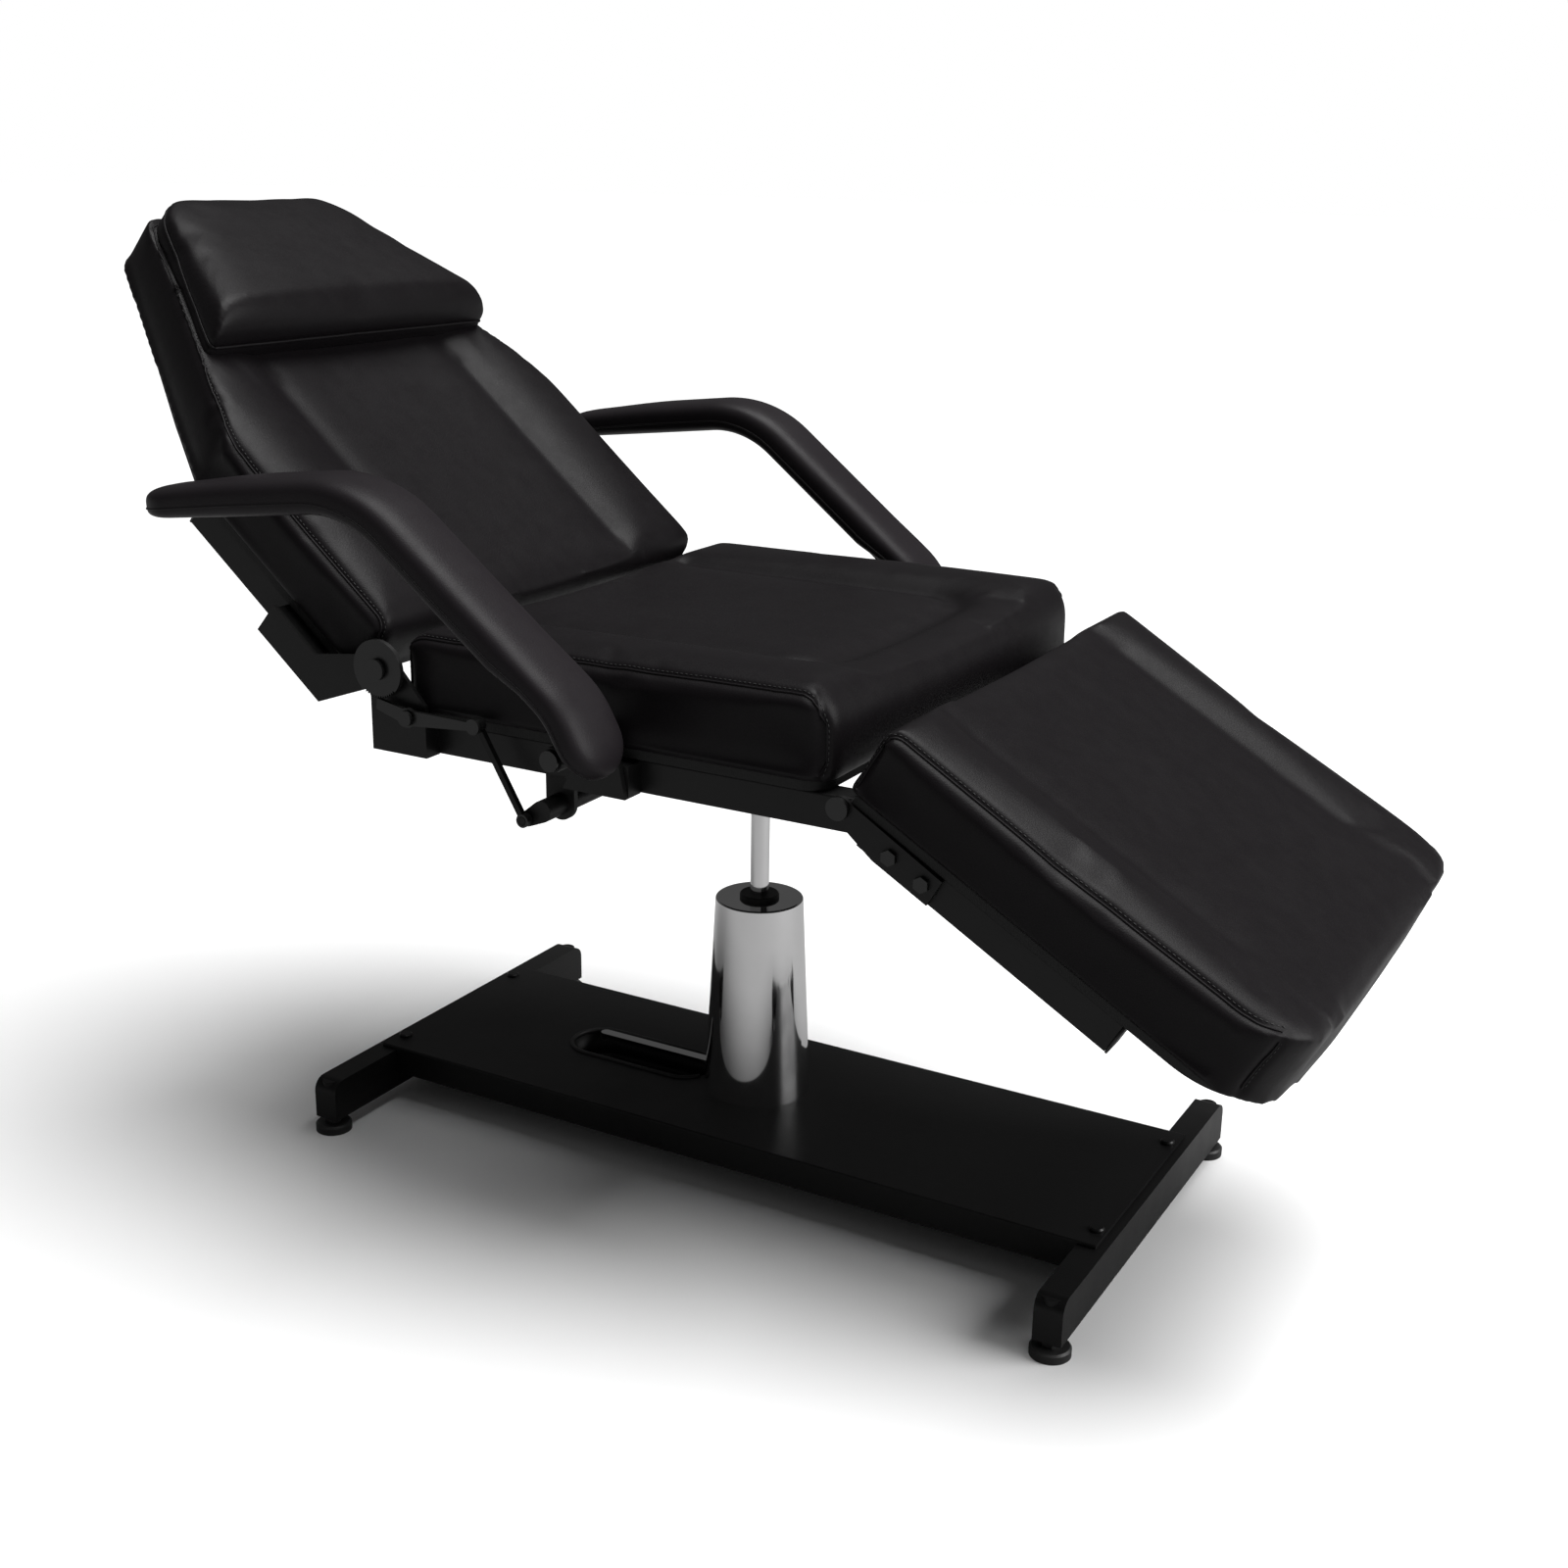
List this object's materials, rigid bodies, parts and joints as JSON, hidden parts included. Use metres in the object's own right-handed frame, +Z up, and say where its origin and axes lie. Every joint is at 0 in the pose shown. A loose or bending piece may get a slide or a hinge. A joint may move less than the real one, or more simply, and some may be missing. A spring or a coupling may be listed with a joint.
{
  "type": "tattoo chair",
  "caption": "Reclining treatment chair with padded seat, backrest, leg rest and bent armrests on a hydraulic foot pump and a long steel base.",
  "frame": {"origin": "on the floor under the middle of the chair", "axes": "+X towards the foot end, +Y to the sitter's left, +Z up"},
  "size_m": [1.4601, 0.812, 1.0259],
  "materials": {
    "vinyl": "matt black upholstery vinyl with a fine grain",
    "frame_paint": "satin black powder coat",
    "chrome": "polished chrome plate",
    "steel": "black oxide steel",
    "plastic": "black moulded plastic",
    "board": "plywood under black backing cloth"
  },
  "bodies": {
    "base": {"deck_plate": "frame_paint", "cross_leg_rear": "frame_paint", "cross_leg_front": "frame_paint", "levelling_foot_rear_right": "plastic", "levelling_foot_rear_left": "plastic", "levelling_foot_front_right": "plastic", "levelling_foot_front_left": "plastic", "deck_bolts": "steel", "pump_flange": "frame_paint", "flange_bolts": "steel", "foot_lever_pin": "steel", "pump_cylinder": "steel", "ram_gland": "plastic", "pump_cover": "chrome"},
    "foot_lever": {"foot_lever": "chrome"},
    "ram": {"pump_ram": "chrome"},
    "seat": {"swivel_hub": "frame_paint", "swivel_set_screw": "plastic", "mounting_plate": "frame_paint", "mounting_plate_bolts": "steel", "seat_cross_tube_rear": "frame_paint", "seat_cross_tube_front": "frame_paint", "seat_board": "board", "seat_cushion": "vinyl", "pawl_pin": "steel", "back_hinge_pins": "steel", "leg_hinge_pins": "steel", "armrest_bolts": "steel", "seat_rail_right": "frame_paint", "seat_rail_left": "frame_paint", "seat_hinge_plate_right": "frame_paint", "seat_hinge_plate_left": "frame_paint", "release_bar_hanger_right": "frame_paint", "release_bar_hanger_left": "frame_paint", "armrest_bracket_right": "frame_paint", "armrest_bracket_left": "frame_paint"},
    "backrest": {"back_board": "board", "back_cushion": "vinyl", "head_pillow": "vinyl", "back_cross_tube": "frame_paint", "ratchet_sector": "steel", "back_rail_right": "frame_paint", "back_rail_left": "frame_paint", "back_hinge_plate_right": "frame_paint", "back_hinge_plate_left": "frame_paint"},
    "leg_rest": {"leg_board": "board", "leg_cushion": "vinyl", "leg_cross_tube": "frame_paint", "leg_plate_bolts": "steel", "leg_rail_right": "frame_paint", "leg_rail_left": "frame_paint", "leg_hinge_plate_right": "frame_paint", "leg_hinge_plate_left": "frame_paint"},
    "armrest_right": {"armrest_pad_right": "vinyl", "armrest_core_right": "frame_paint"},
    "armrest_left": {"armrest_pad_left": "vinyl", "armrest_core_left": "frame_paint"},
    "release_bar": {"release_bar": "frame_paint"},
    "ratchet_pawl": {"ratchet_pawl": "steel"},
    "pull_rod": {"pull_rod": "steel"}
  },
  "joints": [
    {"name": "ram_lift", "type": "slide", "parent": "base", "child": "ram", "axis": [0, 0, 1], "range_m": [-0.05, 0.08]},
    {"name": "seat_swivel", "type": "hinge", "parent": "ram", "child": "seat", "pos_m": [0.0385, 0, 0.45], "axis": [0, 0, 1], "continuous": true},
    {"name": "backrest_recline", "type": "hinge", "parent": "seat", "child": "backrest", "pos_m": [-0.2235, 0, 0.59], "axis": [0, -1, 0], "range_deg": [-29.6, 40.4]},
    {"name": "leg_rest_raise", "type": "hinge", "parent": "seat", "child": "leg_rest", "pos_m": [0.285, 0, 0.5271], "axis": [0, -1, 0], "range_deg": [-24.8, 30.2]},
    {"name": "armrest_right_lift", "type": "hinge", "parent": "seat", "child": "armrest_right", "pos_m": [0.04145, -0.366, 0.55761], "axis": [0, 1, 0], "range_deg": [0, 70]},
    {"name": "armrest_left_lift", "type": "hinge", "parent": "seat", "child": "armrest_left", "pos_m": [0.04145, 0.366, 0.55761], "axis": [0, 1, 0], "range_deg": [0, 70]},
    {"name": "foot_lever_press", "type": "hinge", "parent": "base", "child": "foot_lever", "pos_m": [-0.0045, 0, 0.079], "axis": [0, -1, 0], "range_deg": [0, 11], "stiffness_Nm_per_rad": 2, "springref_deg": -17.19},
    {"name": "release_bar_turn", "type": "hinge", "parent": "seat", "child": "release_bar", "pos_m": [-0.0365, 0, 0.469], "axis": [0, 1, 0], "range_deg": [0, 22], "stiffness_Nm_per_rad": 2, "springref_deg": -17.19},
    {"name": "pawl_turn", "type": "hinge", "parent": "seat", "child": "ratchet_pawl", "pos_m": [-0.1875, -0.31475, 0.545], "axis": [0, -1, 0], "range_deg": [0, 6]},
    {"name": "pull_rod_turn", "type": "hinge", "parent": "ratchet_pawl", "child": "pull_rod", "pos_m": [-0.1065, -0.307, 0.548], "axis": [0, -1, 0], "range_deg": [-8, 0]}
  ],
  "couplings": [
    {"joint": "pawl_turn", "follows": "release_bar_turn", "ratio": 0.265},
    {"joint": "pull_rod_turn", "follows": "release_bar_turn", "ratio": -0.326}
  ]
}
